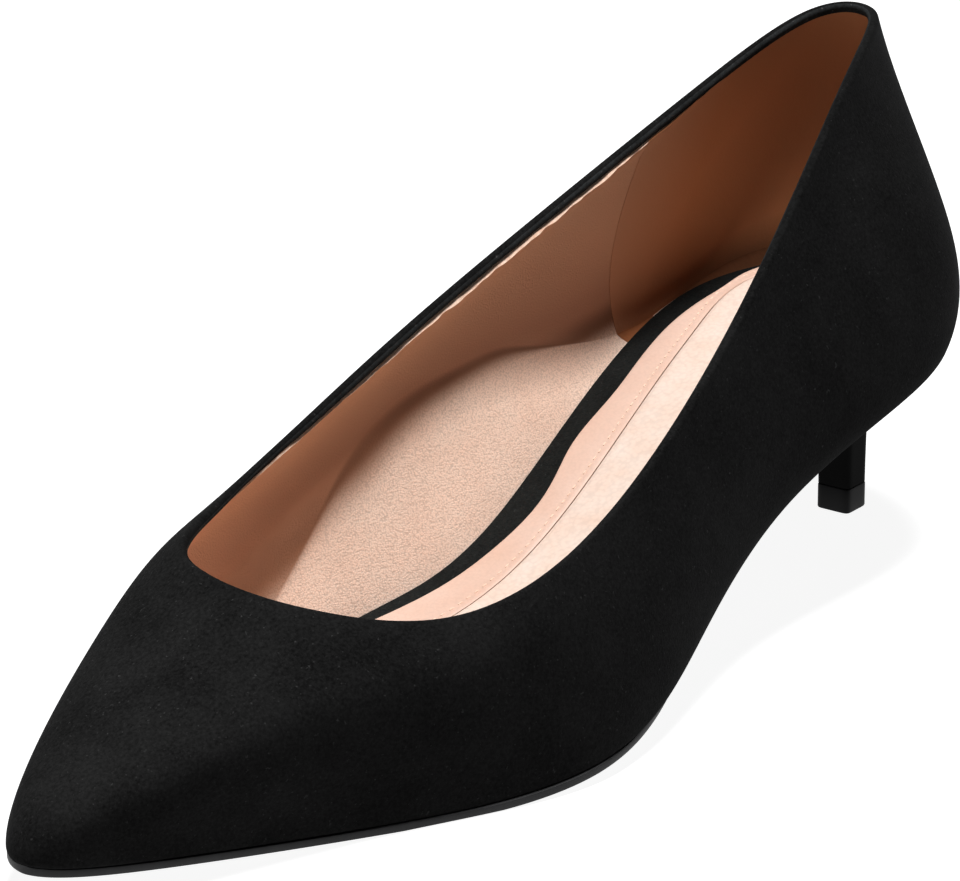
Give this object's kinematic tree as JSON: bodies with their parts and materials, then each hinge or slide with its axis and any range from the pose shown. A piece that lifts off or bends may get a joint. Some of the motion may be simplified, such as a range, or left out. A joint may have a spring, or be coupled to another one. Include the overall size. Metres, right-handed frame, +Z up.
{
  "type": "kitten heel pump",
  "caption": "Left slip-on pump with a pointed toe, a low slim heel, a hollow suede upper, a padded sock and a thin outsole, worn on the foot.",
  "frame": {"origin": "middle of the shoe's box, on the floor it stands on", "axes": "+X from heel to toe, +Y to the wearer's left, which is the outer side, +Z up"},
  "size_m": [0.2504, 0.08, 0.1018],
  "materials": {
    "suede": "black suede with a short soft nap",
    "insole_cover": "black suede cover",
    "sock_leather": "smooth nude leather with a faint grain",
    "sole": "smooth satin black",
    "heel_lacquer": "glossy black lacquer",
    "lift": "satin black"
  },
  "bodies": {
    "root": {"upper": "suede", "insole": "insole_cover", "sock": "sock_leather", "outsole": "sole", "heel": "heel_lacquer", "top_lift": "lift"}
  },
  "joints": []
}
